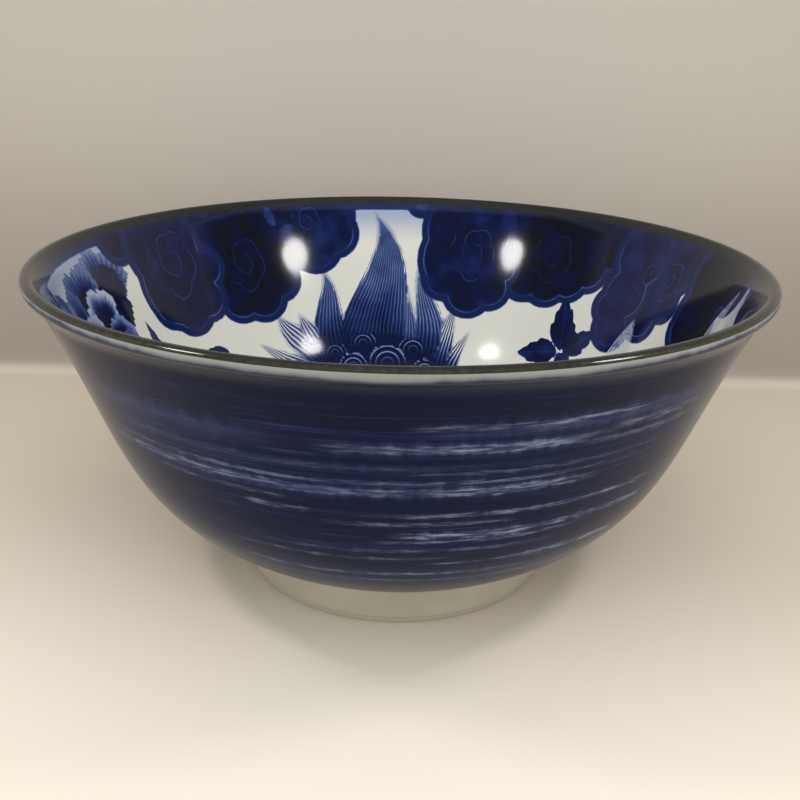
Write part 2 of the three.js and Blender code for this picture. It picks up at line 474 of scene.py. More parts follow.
def turned(name, outline, turns, finish):
    scene = bpy.context.scene
    template = bpy.data.meshes.new(name + "Outline")
    template.from_pydata([(r * mm, 0, z * mm) for r, z in outline], [], [])
    guide = bpy.data.objects.new(name + "Outline", template)
    maker = bpy.data.objects.new(name + "Maker", bpy.data.meshes.new(name + "Maker"))
    scene.collection.objects.link(guide)
    scene.collection.objects.link(maker)
    lathe = maker.modifiers.new("wheel", "NODES")
    lathe.node_group = wheel
    for label, value in (("Outline", guide), ("Turns", turns), ("Finish", finish)):
        lathe[wheelInputs[label]] = value
    graph = bpy.context.evaluated_depsgraph_get()
    mesh = bpy.data.meshes.new_from_object(maker.evaluated_get(graph))
    mesh.name = name
    for spent in (maker, guide):
        bpy.data.objects.remove(spent)
    shell = bmesh.new()
    shell.from_mesh(mesh)
    bmesh.ops.dissolve_degenerate(shell, dist=turning["sliver"], edges=shell.edges)
    bmesh.ops.recalc_face_normals(shell, faces=shell.faces)
    shell.to_mesh(mesh)
    shell.free()
    mesh.shade_smooth()
    mesh.set_sharp_from_angle(angle=math.radians(turning["sharp"]))
    piece = bpy.data.objects.new(name, mesh)
    scene.collection.objects.link(piece)
    return piece


def settle(piece, node):  # what the piece stands for and what it moves with
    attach(piece, "root")
    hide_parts(node)
    print(piece.name + ":", len(piece.data.polygons), "faces")


def points(piece):  # a piece's points: radius and height in millimetres, bearing from the back of the bowl
    flat = np.empty(len(piece.data.vertices) * 3, np.float32)
    piece.data.vertices.foreach_get("co", flat)
    x, y, z = (flat.reshape(-1, 3).astype(float) / mm).T
    return np.hypot(x, y), z, np.arctan2(x, y)


def store(piece, **fields):
    for name, values in fields.items():
        layer = piece.data.attributes.new(name, "FLOAT", "POINT")
        layer.data.foreach_set("value", values.astype(np.float32))


def rowsOf(piece, outline):  # which point of the outline each of the piece's points was turned from
    row = np.empty(len(piece.data.vertices), np.float32)
    piece.data.attributes["row"].data.foreach_get("value", row)
    radius, height, _ = points(piece)
    gap = np.hypot(radius - outline[0, 0], height - outline[0, 1])
    row[gap < touching] = 0  # where the outline closes
    return row


def layBrush(piece, sizes, row, length):  # lengths round and down, as a brush on the turning piece would go
    last = sizes["rows"] - 1
    behind = np.clip((row - sizes["rows"]) / (sizes["backRows"] - 1), 0, 1)
    share = np.where(row <= last, row / last, 1 - behind)
    _, _, bearing = points(piece)
    around = np.stack([np.sin(bearing) * brushRadius, np.cos(bearing) * brushRadius, share * length], 1)
    layer = piece.data.attributes.new("brush", "FLOAT_VECTOR", "POINT")
    layer.data.foreach_set("vector", around.astype(np.float32).ravel())
    store(piece, share=share)


# Maps for baking: a ring's skin lies in strips side by side and the inside's as one disc, with their hidden
# backs small beside them
maps = dict(skin=0.84, backStart=0.9, backSpan=0.07, edge=0.01, disc=0.46, backDisc=0.06, backPlace=0.93)


def layMap(piece, sizes, row):
    mesh = piece.data
    corner = np.empty(len(mesh.loops), np.int32)
    mesh.loops.foreach_get("vertex_index", corner)
    start = np.empty(len(mesh.polygons), np.int32)
    mesh.polygons.foreach_get("loop_start", start)
    count = np.diff(np.r_[start, len(corner)])
    last = sizes["rows"] - 1
    end = sizes["rows"] + sizes["backRows"]
    row = row[corner]
    hidden = np.repeat(np.maximum.reduceat(row, start) > last, count)
    share = row / last
    back = (np.where(row == 0, end, row) - last) / (end - last)
    _, _, bearing = points(piece)
    bearing = bearing[corner]
    if "strips" in sizes:
        sine = np.repeat(np.add.reduceat(np.sin(bearing), start), count)
        cosine = np.repeat(np.add.reduceat(np.cos(bearing), start), count)
        middle = np.arctan2(sine, cosine) % fullTurn
        turn = middle + wrapped(bearing - middle)
        width = fullTurn / sizes["strips"]
        strip = np.floor(middle / width)
        u = maps["edge"] + (turn / width - strip) * (1 - 2 * maps["edge"])
        backUp = maps["backStart"] + back * maps["backSpan"]
        up = np.where(hidden, backUp, maps["edge"] + share * maps["skin"])
        v = (strip + up) / sizes["strips"]
    else:
        reach = np.where(hidden, (1 - back) * maps["backDisc"], share * maps["disc"])
        centre = np.where(hidden, maps["backPlace"], 0.5)
        u = centre + reach * np.sin(bearing) * np.where(hidden, -1, 1)  # the back faces the other way
        v = centre + reach * np.cos(bearing)
    layer = mesh.uv_layers.new(name="OFBake")
    layer.data.foreach_set("uv", np.stack([u, v], 1).astype(np.float32).ravel())


# The printed inside, drawn on bearing from the back of the bowl and depth below the brown band
# The inside's white darkens and turns bluer just under the band, as painted shade
printed = dict(rows=146, backRows=24, turns=576, ground=paint(208, 209, 202), ior=1.38, washSize=8,
               grainSize=1.2, softEdge=0.4, rimShade=(16, 2, 0.0, 0.2), polish=0.13, inkPolish=0.05,
               rippleSize=16, ripple=0.04)
# How blue from bare white to the deepest cobalt, by the amount of pigment
pigment = [(0.0, printed["ground"]), (0.26, paint(122, 139, 180)), (0.5, paint(50, 72, 126)),
           (0.76, paint(22, 36, 86)), (0.88, paint(12, 20, 58)), (1.0, paint(15, 18, 29))]
repeats = (0, 180)  # most of the pattern is drawn twice, at these turns
outside = -99  # depth inside a shape, for points nowhere near it
farOff = 9  # millimetres or shares, for points far from a line
beyond = 2  # shares of a shape's reach, for points past its edge


class Canvas:
    def __init__(self, piece):
        radius, _, self.bearing = points(piece)
        inner = skinRun <= skinPlaces["bandTop"]
        run = np.interp(radius, skin[inner, 0], skinRun[inner])
        self.radius = radius
        self.depth = skinPlaces["bandTop"] - run
        self.flat = run * np.sin(self.bearing), run * np.cos(self.bearing)  # the well as a disc

    def fill(self, value):
        return np.full(len(self.radius), float(value))

    def local(self, bearing, depth):  # millimetres to the right of a place and below it
        return wrapped(self.bearing - math.radians(bearing)) * self.radius, self.depth - depth

    def spot(self, bearing, depth, origin):  # a place as local millimetres from an origin
        reach = np.interp(skinPlaces["bandTop"] - depth, skinRun, skin[:, 0])
        return np.array([math.radians(bearing - origin[0]) * reach, depth - origin[1]])


class Layer:  # fields over the canvas, each shape laid on what is there
    def __init__(self, canvas, **blank):
        for name, value in blank.items():
            setattr(self, name, canvas.fill(value))

    def lay(self, wins, **values):
        for name, value in values.items():
            setattr(self, name, np.where(wins, value, getattr(self, name)))


# Clouds that hang from the rim: lobes as (bearing, depth, radius) and a swirl as (bearing, depth, size)
clouds = dict(margin=2.3, marginTone=0.81, marginFade=1.6, line=(0.29, 0.03), lineTone=0.36,
              broken=(0.38, 0.58, 0.15, 1.0), rimFade=(2.0, 14.0, 0.1, 1.0), edge=(-0.35, 0.4), mottle=0.42,
              rimWash=2.4, rimTone=0.9)
swirls = dict(laps=2, squash=0.75, scallops=5, scallop=0.22, start=0.15, line=(0.075, 0.02),
              outer=(1.05, 0.95), inner=(0.1, 0.2), broken=(0.38, 0.56, 0.15, 1.0), tone=0.22, fade=1,
              covered=(-0.2, -1.2))
cloudGroups = dict(backGroup=[
    dict(tone=0.92, lobes=[(-72, 2, 9), (-49, 6, 9), (-28, 3, 9), (28, 4, 9), (53, 6, 9), (66, 4, 8)]),
    dict(tone=0.92, once=True, lobes=[(78, 5, 9)]),
    dict(tone=0.95, swirl=(-39, 18, 8.5), lobes=[
        (-38, 8, 17), (-38, 19, 17), (-42.5, 30, 9.5), (-36.5, 31, 9.5), (-31.5, 26, 8.5),
        (-29, 18, 7.5), (-46, 20, 9)]),
    dict(tone=0.7, lobes=[(-31, 4, 8), (-27, 8, 6), (4.5, 0, 5.5)]),
    dict(tone=0.86, swirl=(-22, 6, 6), lobes=[(-20, 3, 15), (-16.5, 10.5, 10), (-21, 15.5, 10)]),
    dict(tone=0.98, swirl=(38, 14, 8), lobes=[
        (40, 5, 20), (36, 14, 17), (31.5, 23, 9.5), (37.5, 23.5, 9.5), (43, 21, 9), (47.5, 16.5, 9),
        (51.5, 9, 9)]),
    dict(tone=0.84, once=True, swirl=(71, 12, 6), lobes=[
        (71, 6, 13), (69.5, 17, 11), (67.5, 27, 8), (73, 20, 6.5)])], frontGroup=[
    dict(tone=0.9, swirl=(-58, 13, 10.5), lobes=[
        (-60, 8, 17), (-59, 20, 17), (-57.5, 29.5, 10), (-63, 26, 9.5), (-52, 28, 8.5), (-50, 18, 8)]),
    dict(tone=0.89, swirl=(18, 16, 9), lobes=[
        (16, 8, 17.5), (15.5, 19, 17), (11, 27, 8.5), (17.5, 31.5, 9.5), (23, 29, 8.5), (25.5, 21.5, 7)]),
    dict(tone=0.86, swirl=(64.5, 14, 5), lobes=[
        (61, 8, 12.5), (60, 21, 10.5), (59.5, 33, 8.5), (56.5, 27, 7)]),
    dict(tone=0.99, once=True, swirl=(85, 13, 7), lobes=[
        (86, 6, 15), (86, 18, 13), (83.5, 23, 9), (90, 21.5, 9), (95, 5, 9)])])


def drawCloud(canvas, cloud, turn):  # millimetres inside a cloud's scalloped edge
    inside = canvas.fill(outside)
    for bearing, depth, size in cloud["lobes"]:
        inside = np.maximum(inside, size - np.hypot(*canvas.local(bearing + turn, depth)))
    return inside


def drawSwirl(canvas, cloud, turn):  # the swirl's own place across and down, in shares of its size
    if "swirl" not in cloud:
        return canvas.fill(farOff), canvas.fill(farOff)
    bearing, depth, size = cloud["swirl"]
    across, down = canvas.local(bearing + turn, depth)
    return across / size, down * swirls["squash"] / size


def drawClouds(canvas, piece):
    swirl = Layer(canvas, swirlAcross=farOff, swirlDown=farOff)
    for group in cloudGroups:
        layer = Layer(canvas, depth=outside, tone=clouds["rimTone"])
        if group == "backGroup":
            layer.depth = clouds["rimWash"] - canvas.depth
        for turn in repeats:
            for cloud in cloudGroups[group]:
                if turn and cloud.get("once"):
                    continue
                inside = drawCloud(canvas, cloud, turn)
                across, down = drawSwirl(canvas, cloud, turn)
                swirl.lay(inside > np.maximum(layer.depth, 0), swirlAcross=across, swirlDown=down)
                layer.lay(inside > layer.depth, depth=inside, tone=cloud["tone"])
        store(piece, **{group: layer.depth, group + "Tone": layer.tone})
    store(piece, **vars(swirl), depth=canvas.depth)


def spiral(f):  # a scalloped line that winds out from a point inside each cloud
    across = f.field("swirlAcross")
    down = f.field("swirlDown")
    square = across * across + down * down
    reach = square.math("SQRT", square)
    turn = across.math("ARCTAN2", across, 0 - down) / fullTurn
    scallop = 1 + reach * abs((turn * (swirls["scallops"] * math.pi)).sin()) * swirls["scallop"]
    phase = (reach / scallop - swirls["start"]) * (swirls["laps"] / (1 - swirls["start"])) - turn
    gap = abs(phase - math.floor(phase + 0.5))
    return gap.rise(*swirls["line"]) * reach.rise(*swirls["outer"]) * reach.rise(*swirls["inner"])


# Plumes that rise from the curls: (bearing, depth) along each, half width in millimetres, how blunt its tip
# is, and how much white shows between its hairs
plumes = dict(pitch=1.5, sway=7, fray=0.9, split=0.4, deepen=(0.08, 0.62, 0.9, 0.66),
              pale=(0.05, 0.4, 0.05, 0.3), edge=(-0.2, 0.3), mottle=0.4, spinePoints=60, belly=0.25,
              leastHalf=0.5, hair=(0.3, 1.0), gap=(-0.3, 0.5), gapFrom=(0.15, 0.6), strokes=[
    dict(route=[(-8, 60), (-9, 42), (2, 20), (-6.5, 3)], half=13.5, blunt=0.8, loose=0.0),
    dict(route=[(-18, 58), (-22.5, 42), (-16, 32), (-20.5, 23)], half=6.4, blunt=0.75, loose=0.0),
    dict(route=[(2, 62), (3.5, 50), (2, 42), (2.2, 31)], half=5.5, blunt=0.8, loose=0.1),
    dict(route=[(6, 62), (13, 46), (4, 34), (4.5, 21)], half=6.6, blunt=0.75, loose=0.2),
    dict(route=[(10, 64), (13, 48), (15, 33)], half=5.5, blunt=0.8, loose=0.9),
    dict(route=[(13, 64), (16, 54), (21, 42)], half=4.0, blunt=0.8, loose=1.0),
    dict(route=[(-21, 60), (-25, 50), (-32, 47), (-34, 37)], half=5.0, blunt=0.4, loose=0.8),
    dict(route=[(-21, 60), (-23, 50), (-26, 46), (-28, 38)], half=4.4, blunt=0.4, loose=0.7),
    dict(route=[(-22, 64), (-33, 57), (-42.5, 45)], half=5.0, blunt=0.7, loose=1.0)])
# Pale wisps over the clouds at the right, of the same kind
wisps = dict(pitch=1.3, sway=5, tone=0.1, split=0.3, fray=0.5, edge=(-0.3, 0.5),
             hair=(-1.0, 0.4, 0.35, 1.0), grain=(0.25, 0.55, 0.6, 1.0), strokes=[
    dict(route=[(65.5, 44), (65, 37), (66, 27)], half=5.6, blunt=0.8),
    dict(route=[(95, 22), (96, 13), (98, 3)], half=2.8, blunt=0.7),
    dict(route=[(102, 18), (102, 10), (104, 2)], half=2.4, blunt=0.7)])


def drawPlume(canvas, plume, turn):  # millimetres inside its edge, place across, share of its length
    route = [(bearing + turn, depth) for bearing, depth in plume["route"]]
    across, down = canvas.local(*route[0])
    spine = curve(*(canvas.spot(*place, route[0]) for place in route), count=plumes["spinePoints"])
    left = leftOf(spine)
    best = canvas.fill(np.inf)
    run = canvas.fill(0)
    aside = canvas.fill(0)
    for i, (x, y) in enumerate(spine):
        gap = (across - x) ** 2 + (down - y) ** 2
        near = gap < best
        best[near] = gap[near]
        run[near] = i / (len(spine) - 1)
        aside[near] = ((across - x) * left[i, 0] + (down - y) * left[i, 1])[near]
    taper = np.clip((1 - run) / plume["blunt"], 0, 1)
    half = plume["half"] * taper * (1 + plumes["belly"] * (1 - taper))
    past = np.sqrt(np.maximum(best - aside ** 2, 0))
    line = aside / np.maximum(half, plumes["leastHalf"]) * plume["half"]
    return half - np.abs(aside) - past, line, run


def drawPlumes(canvas, piece):
    layer = Layer(canvas, plumeDepth=outside, plumeLine=0, plumeRun=0, plumeLoose=0)
    for turn in repeats:
        for plume in plumes["strokes"]:
            inside, line, run = drawPlume(canvas, plume, turn)
            layer.lay(inside > layer.plumeDepth, plumeDepth=inside, plumeLine=line, plumeRun=run,
                      plumeLoose=plume["loose"])
    store(piece, **vars(layer))


def drawWisps(canvas, piece):
    layer = Layer(canvas, wispDepth=outside, wispLine=0)
    for wisp in wisps["strokes"]:
        inside, line, _ = drawPlume(canvas, wisp, 0)
        layer.lay(inside > layer.wispDepth, wispDepth=inside, wispLine=line)
    store(piece, **vars(layer))


# Curls at the roots of the plumes: (bearing, depth, radius), the nearer ones last, on a dark oval ground
curls = dict(ground=dict(place=(-6.5, 61), wide=21, tall=14), edge=1.08, rings=19, tone=0.9, ringTone=0.58,
             ringLine=(0.35, 0.95), ringEnd=1.03, eye=(0.2, 0.4), lit=(-0.45, 0.6), mottle=0.2,
             fade=(-0.3, 2.2), rounds=[
    (-10.5, 51.5, 4.6), (4, 54, 5.2), (-19, 54.5, 4.3), (-14, 60, 5), (8, 62, 4.6), (-21, 63, 4.6),
    (-3.5, 59, 6.5), (-9, 67, 5.2), (2, 68, 5.6), (-16, 70, 5)])


def drawCurls(canvas, piece):
    layer = Layer(canvas, curlDepth=outside, curlRing=beyond, curlCrest=0)
    bearing, low = curls["ground"]["place"]
    tall = curls["ground"]["tall"]
    for turn in repeats:
        across, down = canvas.local(bearing + turn, low)
        inside = (1 - np.hypot(across / curls["ground"]["wide"], down / tall)) * tall
        layer.lay(inside > layer.curlDepth, curlDepth=inside)
        for side, below, size in curls["rounds"]:
            across, down = canvas.local(side + turn, below)
            reach = np.hypot(across, down) / size
            inside = size * (1 - reach)
            layer.lay(inside > layer.curlDepth, curlDepth=inside)
            layer.lay(reach < curls["edge"], curlRing=reach, curlCrest=-down / size)
    store(piece, **vars(layer))


# Leaves: (bearing, depth) of root and tip, and half width in millimetres
leaves = dict(notches=4, tooth=0.26, toothFrom=0.475, tone=0.86, rib=(0.4, 0.1, 0.0, 0.08), mottle=0.6,
              edge=(-0.2, 0.25), reach=(-0.2, 1.2), lean=0.8, plump=0.9, ends=6, sprigs=[
    ((47, 45.5), (44, 27.5), 5.0), ((46, 46.5), (34.5, 50), 4.9), ((48, 46), (55.5, 36), 4.2),
    ((47, 47), (52, 50), 2.4), ((46.5, 46), (48.5, 58), 1.0), ((-71.5, 43), (-73.7, 28.5), 1.9),
    ((-50.5, 47.5), (-59, 45), 2.2), ((-64, 58), (-70, 49), 3.2), ((-63, 58), (-58, 52), 3.0),
    ((67, 52), (74, 44), 3.4), ((66, 53), (62, 46), 3.2)])


def drawLeaves(canvas, piece):
    layer = Layer(canvas, leafDepth=outside, leafRib=farOff)
    for turn in repeats:
        for root, tip, half in leaves["sprigs"]:
            start = (root[0] + turn, root[1])
            across, down = canvas.local(*start)
            axis = canvas.spot(tip[0] + turn, tip[1], start)
            length = np.linalg.norm(axis)
            axis = axis / length
            share = np.clip((across * axis[0] + down * axis[1]) / length, *leaves["reach"])
            aside = down * axis[0] - across * axis[1]
            inner = np.clip(share, 0, 1)
            swell = np.sin(np.pi * inner ** leaves["lean"]) ** leaves["plump"]
            notch = leaves["tooth"] * (1 - (inner * leaves["notches"]) % 1) * (inner > leaves["toothFrom"])
            past = leaves["ends"] * np.abs(share - inner)
            inside = half * swell * (1 - notch) - np.abs(aside) - past
            layer.lay(inside > layer.leafDepth, leafDepth=inside, leafRib=aside)
    store(piece, **vars(layer))


# Petals as fans: (bearing, depth) of the base, reach, the way it faces in degrees from up, and how dark its
# edge is
petals = dict(lobes=3.4, lobeDepth=0.11, frills=11, frillDepth=0.05, spread=78, cut=3, rootTone=0.95,
              fade=(0.45, 0.95), streaks=38, sway=6, streakTone=0.1, streakFade=(1.0, 0.7), mottle=0.5,
              edge=(1.01, 0.98), fans=[
    ((-108, 24), 19, -48, 0.5), ((-103, 36), 17, -50, 0.5), ((-82, 19), 18, -8, 0.36),
    ((-92, 22), 19, -30, 0.42), ((-99, 26), 18, -55, 0.46), ((-80, 15), 7.5, 55, 0.93),
    ((-81, 22), 8.5, 95, 0.96), ((-88, 25), 13, -12, 0.12), ((-96, 32), 15, -35, 0.2),
    ((-84, 31), 9, 20, 0.3), ((-90, 36), 12, -5, 0.25), ((-82, 36), 8, 60, 0.5)])
# The rosette in the well: each ring's radius, how many petals it has and their reach
rosette = dict(edge=0.15, spread=120, twist=20, rings=[(22, 8, 10.5), (13, 6, 9), (5, 4, 6.5)])


def layPetal(layer, across, down, reach, facing, edge, spread):
    angle = wrapped(np.arctan2(across, -down) - math.radians(facing))
    lobe = np.abs(np.cos(petals["lobes"] * angle))
    frill = np.abs(np.cos(petals["frills"] * angle))
    tooth = 1 - petals["lobeDepth"] * (1 - lobe) - petals["frillDepth"] * (1 - frill)
    cut = 1 + petals["cut"] * np.maximum(np.abs(angle) / math.radians(spread) - 1, 0)
    share = np.hypot(across, down) / (reach * tooth) * cut
    layer.lay(share < 1, petalShare=share, petalFan=angle, petalTone=edge)


def drawPetals(canvas, piece):
    layer = Layer(canvas, petalShare=beyond, petalFan=0, petalTone=0)
    for (bearing, depth), reach, facing, edge in petals["fans"]:
        layPetal(layer, *canvas.local(bearing, depth), reach, facing, edge, petals["spread"])
    for radius, count, reach in rosette["rings"]:
        for i in range(count):
            way = fullTurn * (i + radius / rosette["twist"]) / count
            x = canvas.flat[0] - radius * math.sin(way)
            y = canvas.flat[1] - radius * math.cos(way)
            layPetal(layer, x, -y, reach, math.degrees(way), rosette["edge"], rosette["spread"])
    store(piece, **vars(layer))


def printedFinish():
    f = Finish("printedWhiteGlaze", IOR=printed["ior"])
    place = f.millimetres()
    wash = f.noise(place, printed["washSize"], detail=4)
    grain = f.noise(place, printed["grainSize"], detail=2)
    drift = wash - 0.5
    soft = (grain - 0.5) * printed["softEdge"]
    depth = f.field("depth")
    # Plumes: fine pale lines on a wash that deepens towards the root, with split tips
    run = f.field("plumeRun")
    hairs = (f.field("plumeLine") * (fullTurn / plumes["pitch"]) + drift * plumes["sway"]).sin()
    fray = f.field("plumeDepth") + (hairs - plumes["split"]) * run * plumes["fray"]
    plumeTone = run.rise(*plumes["deepen"]) - hairs.rise(*plumes["hair"]) * run.rise(*plumes["pale"])
    white = f.field("plumeLoose") * hairs.rise(*plumes["gap"]) * run.rise(*plumes["gapFrom"])
    plumeTone = plumeTone + drift * plumes["mottle"]
    # Painted shade: the bare white is darker and bluer towards the band
    ink = over(depth.rise(*printed["rimShade"]), plumeTone, fray.rise(*plumes["edge"]) * (1 - white))
    # Leaves and petals
    rib = abs(f.field("leafRib")).rise(*leaves["rib"])
    leafTone = leaves["tone"] - rib + drift * leaves["mottle"]
    ink = over(ink, leafTone, (f.field("leafDepth") + soft).rise(*leaves["edge"]))
    petal = f.field("petalShare")
    streak = (f.field("petalFan") * petals["streaks"] + drift * petals["sway"]).sin()
    streak = streak * petals["streakTone"] + drift * petals["mottle"]
    petalTone = over(petals["rootTone"], f.field("petalTone"), petal.rise(*petals["fade"]))
    petalTone = petalTone + streak * petal.rise(*petals["streakFade"])
    ink = over(ink, petalTone, petal.rise(*petals["edge"]))
    # Curls: pale rings on a dark ground, brightest along their tops
    ring = f.field("curlRing")
    rings = (ring * curls["rings"]).cos().rise(*curls["ringLine"])
    rings = rings * ring.rise(*curls["eye"]) * ring.rise(curls["edge"], curls["ringEnd"])
    lit = f.field("curlCrest").rise(*curls["lit"]) * curls["ringTone"]
    curlTone = curls["tone"] + drift * curls["mottle"] - rings * lit
    ink = over(ink, curlTone, f.field("curlDepth").rise(*curls["fade"]))
    # Clouds: a deep wash with a bluer margin and a broken pale line inside it
    drawn = wash.rise(*clouds["broken"]) * depth.rise(*clouds["rimFade"])
    edge = clouds["margin"]
    for group in cloudGroups:
        inside = f.field(group) + soft
        contour = abs(inside - edge).rise(*clouds["line"]) * drawn
        deep = f.field(group + "Tone") + drift * clouds["mottle"]
        tone = over(clouds["marginTone"], deep, inside.rise(edge, edge + clouds["marginFade"]))
        ink = over(ink, tone - contour * clouds["lineTone"], inside.rise(*clouds["edge"]))
    front = f.field("frontGroup")
    back = f.field("backGroup")
    fade = edge + swirls["fade"]
    within = front.rise(edge, fade) + back.rise(edge, fade) * front.rise(*swirls["covered"])
    ink = ink - spiral(f) * within * wash.rise(*swirls["broken"]) * swirls["tone"]
    # Wisps: pale brush marks over the clouds, split along their length
    split = (f.field("wispLine") * (fullTurn / wisps["pitch"]) + drift * wisps["sway"]).sin()
    fray = f.field("wispDepth") + (split - wisps["split"]) * wisps["fray"]
    wisp = fray.rise(*wisps["edge"]) * split.rise(*wisps["hair"])
    ink = over(ink, wisps["tone"], wisp * grain.rise(*wisps["grain"]))
    f.feed("Base Color", f.ramp(ink, pigment))
    f.feed("Roughness", printed["polish"] - ink * printed["inkPolish"])
    f.feed("Normal", f.bump(f.noise(place, printed["rippleSize"], detail=1), printed["ripple"]))
    return f.material


# The rim band, dark on its crest, olive and mottled at its outer edge
rim = dict(rows=22, backRows=6, turns=576, strips=8, crest=paint(29, 30, 31), olive=paint(62, 60, 45),
           ior=1.38, tint=(0.8, 0.85, 0.94, 1.0), blotchSize=1.6, blotch=(0.45, 0.8), blotchTone=0.25,
           oliveFrom=(0.78, 1.0), oliveTone=0.85, ragged=0.4, polish=0.08, dull=0.06,
           rippleSize=5, ripple=0.03)


def rimFinish():
    f = Finish("ironBrownGlaze", IOR=rim["ior"], Specular_Tint=rim["tint"])
    place = f.millimetres()
    blotch = f.noise(place, rim["blotchSize"], detail=4, roughness=0.6)
    edge = (f.field("share") + (blotch - 0.5) * rim["ragged"]).rise(*rim["oliveFrom"])
    brown = f.mix(blotch.rise(*rim["blotch"]) * rim["blotchTone"], rim["crest"], rim["olive"])
    f.feed("Base Color", f.mix(edge * rim["oliveTone"], brown, rim["olive"]))
    f.feed("Roughness", rim["polish"] + blotch * rim["dull"])
    f.feed("Normal", f.bump(f.noise(place, rim["rippleSize"], detail=2), rim["ripple"]))
    return f.material


# Blues of the brushed outside, from the thickest glaze to where the brush left the white showing
blues = dict(deep=paint(13, 18, 42), navy=paint(9, 18, 49), blue=paint(19, 32, 76), haze=paint(47, 59, 104),
             pale=paint(152, 162, 188))

# The white line under the band: the blue is brushed over its lower edge, and towards the left and right
# sides more blue is laid over it as painted shade
lipLine = dict(rows=10, backRows=4, turns=576, strips=8, white=paint(148, 150, 145),
               thin=paint(120, 124, 132), thick=paint(58, 64, 88), cover=(0.25, 0.9),
               level=(0.05, 0.0, 3), levelCover=0.6, dab=(0.3, 0.1, 3, 0.6), dabCover=0.3,
               sideShade=0.5, ior=1.33, polish=0.1, dull=0.06)


def lineFinish():
    f = Finish("clearLineGlaze", IOR=lipLine["ior"])
    level = f.marks(*lipLine["level"])
    dab = f.marks(*lipLine["dab"])
    side = f.node("ShaderNodeSeparateXYZ", {}, {0: f.brushPlace(1 / brushRadius, 1.0)}, out="X")
    ragged = (level - 0.5) * lipLine["levelCover"] + (dab - 0.5) * lipLine["dabCover"]
    # Painted shade: more blue over the line towards the left and right sides
    cover = f.field("share") + ragged + abs(side) * lipLine["sideShade"]
    stops = [(0.0, lipLine["white"]), (0.35, lipLine["thin"]), (0.7, lipLine["thick"]),
             (1.0, blues["deep"])]
    f.feed("Base Color", f.ramp(cover.rise(*lipLine["cover"]), stops))
    f.feed("Roughness", lipLine["polish"] + dab * lipLine["dull"])
    return f.material


# The brushed outside. Strokes that left the white showing, in each third of the way round: length down from
# the line, bearing from the third's middle and half span in degrees, half breadth in millimetres, how bare
# and how hazy
brushed = dict(rows=120, backRows=20, turns=576, strips=3, third=120, topEnd=(15, 9), topTone=0.55,
               topWave=10, topThin=0.6, stagger=2.4, sway=1.2, broadTone=0.6, hairTone=0.85, toneDrop=0.22,
               ior=1.19, tint=(0.6, 0.7, 0.88, 1.0), polish=0.15, bareDull=0.12, hairDull=0.05,
               groove=0.03, hairGroove=0.7, dryGroove=0.3, strokes=[
    (12.8, 20, 17, 0.6, 0.7, 0.6), (13.6, 28, 24, 1.2, 0.15, 0.6), (18.7, 10, 19, 0.9, 0.8, 0.8),
    (17.5, -34, 18, 1.3, 0.05, 0.6), (17.0, 40, 10, 0.8, 0.5, 0.5), (20.5, 38, 12, 0.5, 0.4, 0.4),
    (24.0, -18, 30, 0.5, 0.12, 0.5), (25.6, 22, 22, 0.4, 0.25, 0.3), (28.2, -6, 44, 0.4, 0.4, 0.3),
    (31.0, -14, 38, 0.75, 0.6, 0.6), (31.0, 14, 15, 0.9, 0.9, 0.6), (34.4, -28, 14, 0.4, 0.3, 0.3),
    (37.6, -18, 5, 0.5, 0.5, 0.3), (38.2, 23, 27, 0.45, 0.65, 0.35), (40.8, 4, 14, 0.45, 0.4, 0.3),
    (44.6, 12, 12, 0.8, 0.85, 0.6), (44.4, 30, 18, 0.6, 0.65, 0.4), (46.8, 16, 18, 0.4, 0.55, 0.3),
    (50.0, 2, 24, 0.4, 0.35, 0.25), (53.0, -8, 18, 0.4, 0.35, 0.2), (55.4, 34, 13, 0.7, 0.95, 0.5),
    (55.4, 14, 9, 0.35, 0.45, 0.2), (60.2, -2, 26, 0.5, 0.55, 0.4), (64.0, 16, 36, 0.5, 0.25, 0.3)])

# How close each kind of mark lies round the bowl and down it, its detail and its roughness
brushMarks = dict(broad=(0.014, 0.22, 4, 0.6), hairs=(0.02, 1.3, 4, 0.7), dab=(0.4, 0.12, 3, 0.55),
                  dry=(0.16, 1.4, 3, 0.65), patch=(0.1, 0.25, 2), sway=(0.03, 0.0, 2))
# How a stroke spreads, in shares of its own half span and half breadth, and what thins the blue
brushSpread = dict(ends=(1.2, 0.5), ragged=(0.25, 1.5), bareReach=1.9, bareFade=1.5, hazeReach=3.4,
                   hazeFade=3, dry=(0.4, 0.66, 0.05, 1.0), dryPatch=(0.3, 0.6, 0.5, 1.0), hazeLeast=0.3,
                   thin=(0.5, 0.7), thinPatch=(0.32, 0.62), thinTone=0.6)


